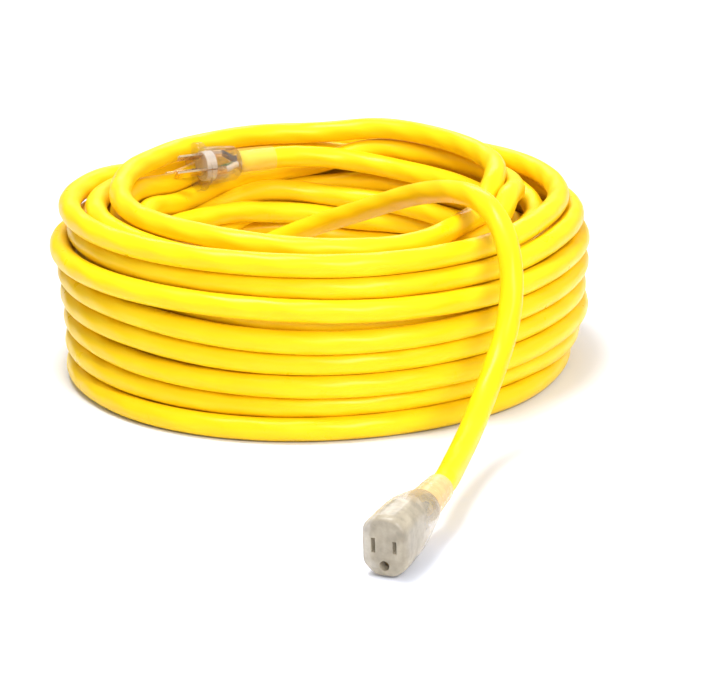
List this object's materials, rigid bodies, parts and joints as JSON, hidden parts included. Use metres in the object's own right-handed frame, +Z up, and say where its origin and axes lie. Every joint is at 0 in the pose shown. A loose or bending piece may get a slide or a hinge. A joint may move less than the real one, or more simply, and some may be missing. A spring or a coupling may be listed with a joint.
{
  "type": "extension cord",
  "caption": "Heavy outdoor extension cord lying in a round coil, with a clear grounded plug on top of it and a clear lamp-lit connector on a free lead in front.",
  "frame": {"origin": "middle of the round coil's underside, on the surface that the cord lies on", "axes": "+Z up, along the coil's axis; -Y towards the side where the connector lies; +X to the right seen from there"},
  "size_m": [0.366, 0.601, 0.1497],
  "materials": {
    "jacket": "satin PVC jacket, bright yellow",
    "clear_plastic": "clear moulded PVC with a warm grey tint",
    "amber_clear": "clear moulded PVC sleeve, yellow where the jacket shows through",
    "brass": "stamped brass, lightly polished",
    "white_plastic": "moulded white nylon",
    "black_insulation": "satin PVC insulation",
    "white_insulation": "satin PVC insulation",
    "green_insulation": "satin PVC insulation",
    "lamp_glass": "small clear lamp with an orange electrode glow",
    "resistor_body": "lacquered resistor body",
    "tinned_wire": "tinned copper lead"
  },
  "bodies": {
    "root": {"cord_coil": "jacket", "plug_lead": "jacket", "connector_lead": "jacket", "plug_body": "clear_plastic", "plug_strain_relief": "amber_clear", "plug_blade_bridge": "white_plastic", "plug_line_blade": "brass", "plug_neutral_blade": "brass", "plug_ground_pin": "brass", "plug_line_wire": "black_insulation", "plug_neutral_wire": "white_insulation", "plug_ground_wire": "green_insulation", "connector_body": "clear_plastic", "connector_strain_relief": "amber_clear", "contact_carrier": "white_plastic", "line_contact": "brass", "neutral_contact": "brass", "ground_contact": "brass", "connector_line_wire": "black_insulation", "connector_neutral_wire": "white_insulation", "connector_ground_wire": "green_insulation", "indicator_lamp": "lamp_glass", "lamp_resistor": "resistor_body", "lamp_line_lead": "tinned_wire", "lamp_link_lead": "tinned_wire", "lamp_neutral_lead": "tinned_wire"}
  },
  "joints": []
}
